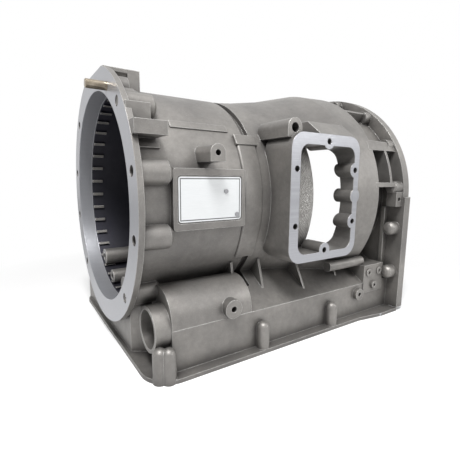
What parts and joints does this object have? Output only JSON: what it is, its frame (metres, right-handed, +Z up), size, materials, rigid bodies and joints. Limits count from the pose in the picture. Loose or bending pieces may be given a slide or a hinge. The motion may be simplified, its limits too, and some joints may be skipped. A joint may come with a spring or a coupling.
{
  "type": "gearbox housing",
  "caption": "Cast gearbox housing with a round front bell, flared rear shell, side window frame and an open oil chest below.",
  "frame": {"origin": "on the main axis at the front flange's machined face", "axes": "+X rearward along the main axis, +Z up, -Y towards the window and the name plate"},
  "size_m": [0.566, 0.432, 0.4419],
  "materials": {
    "casting": "as cast, bead blasted, machined faces brighter",
    "dowel": "ground steel",
    "plate": "satin sheet",
    "rivet": "plain"
  },
  "bodies": {
    "root": {"housing": "casting", "dowel_pin": "dowel", "name_plate": "plate", "plate_rivet_1": "rivet", "plate_rivet_2": "rivet"}
  },
  "joints": []
}
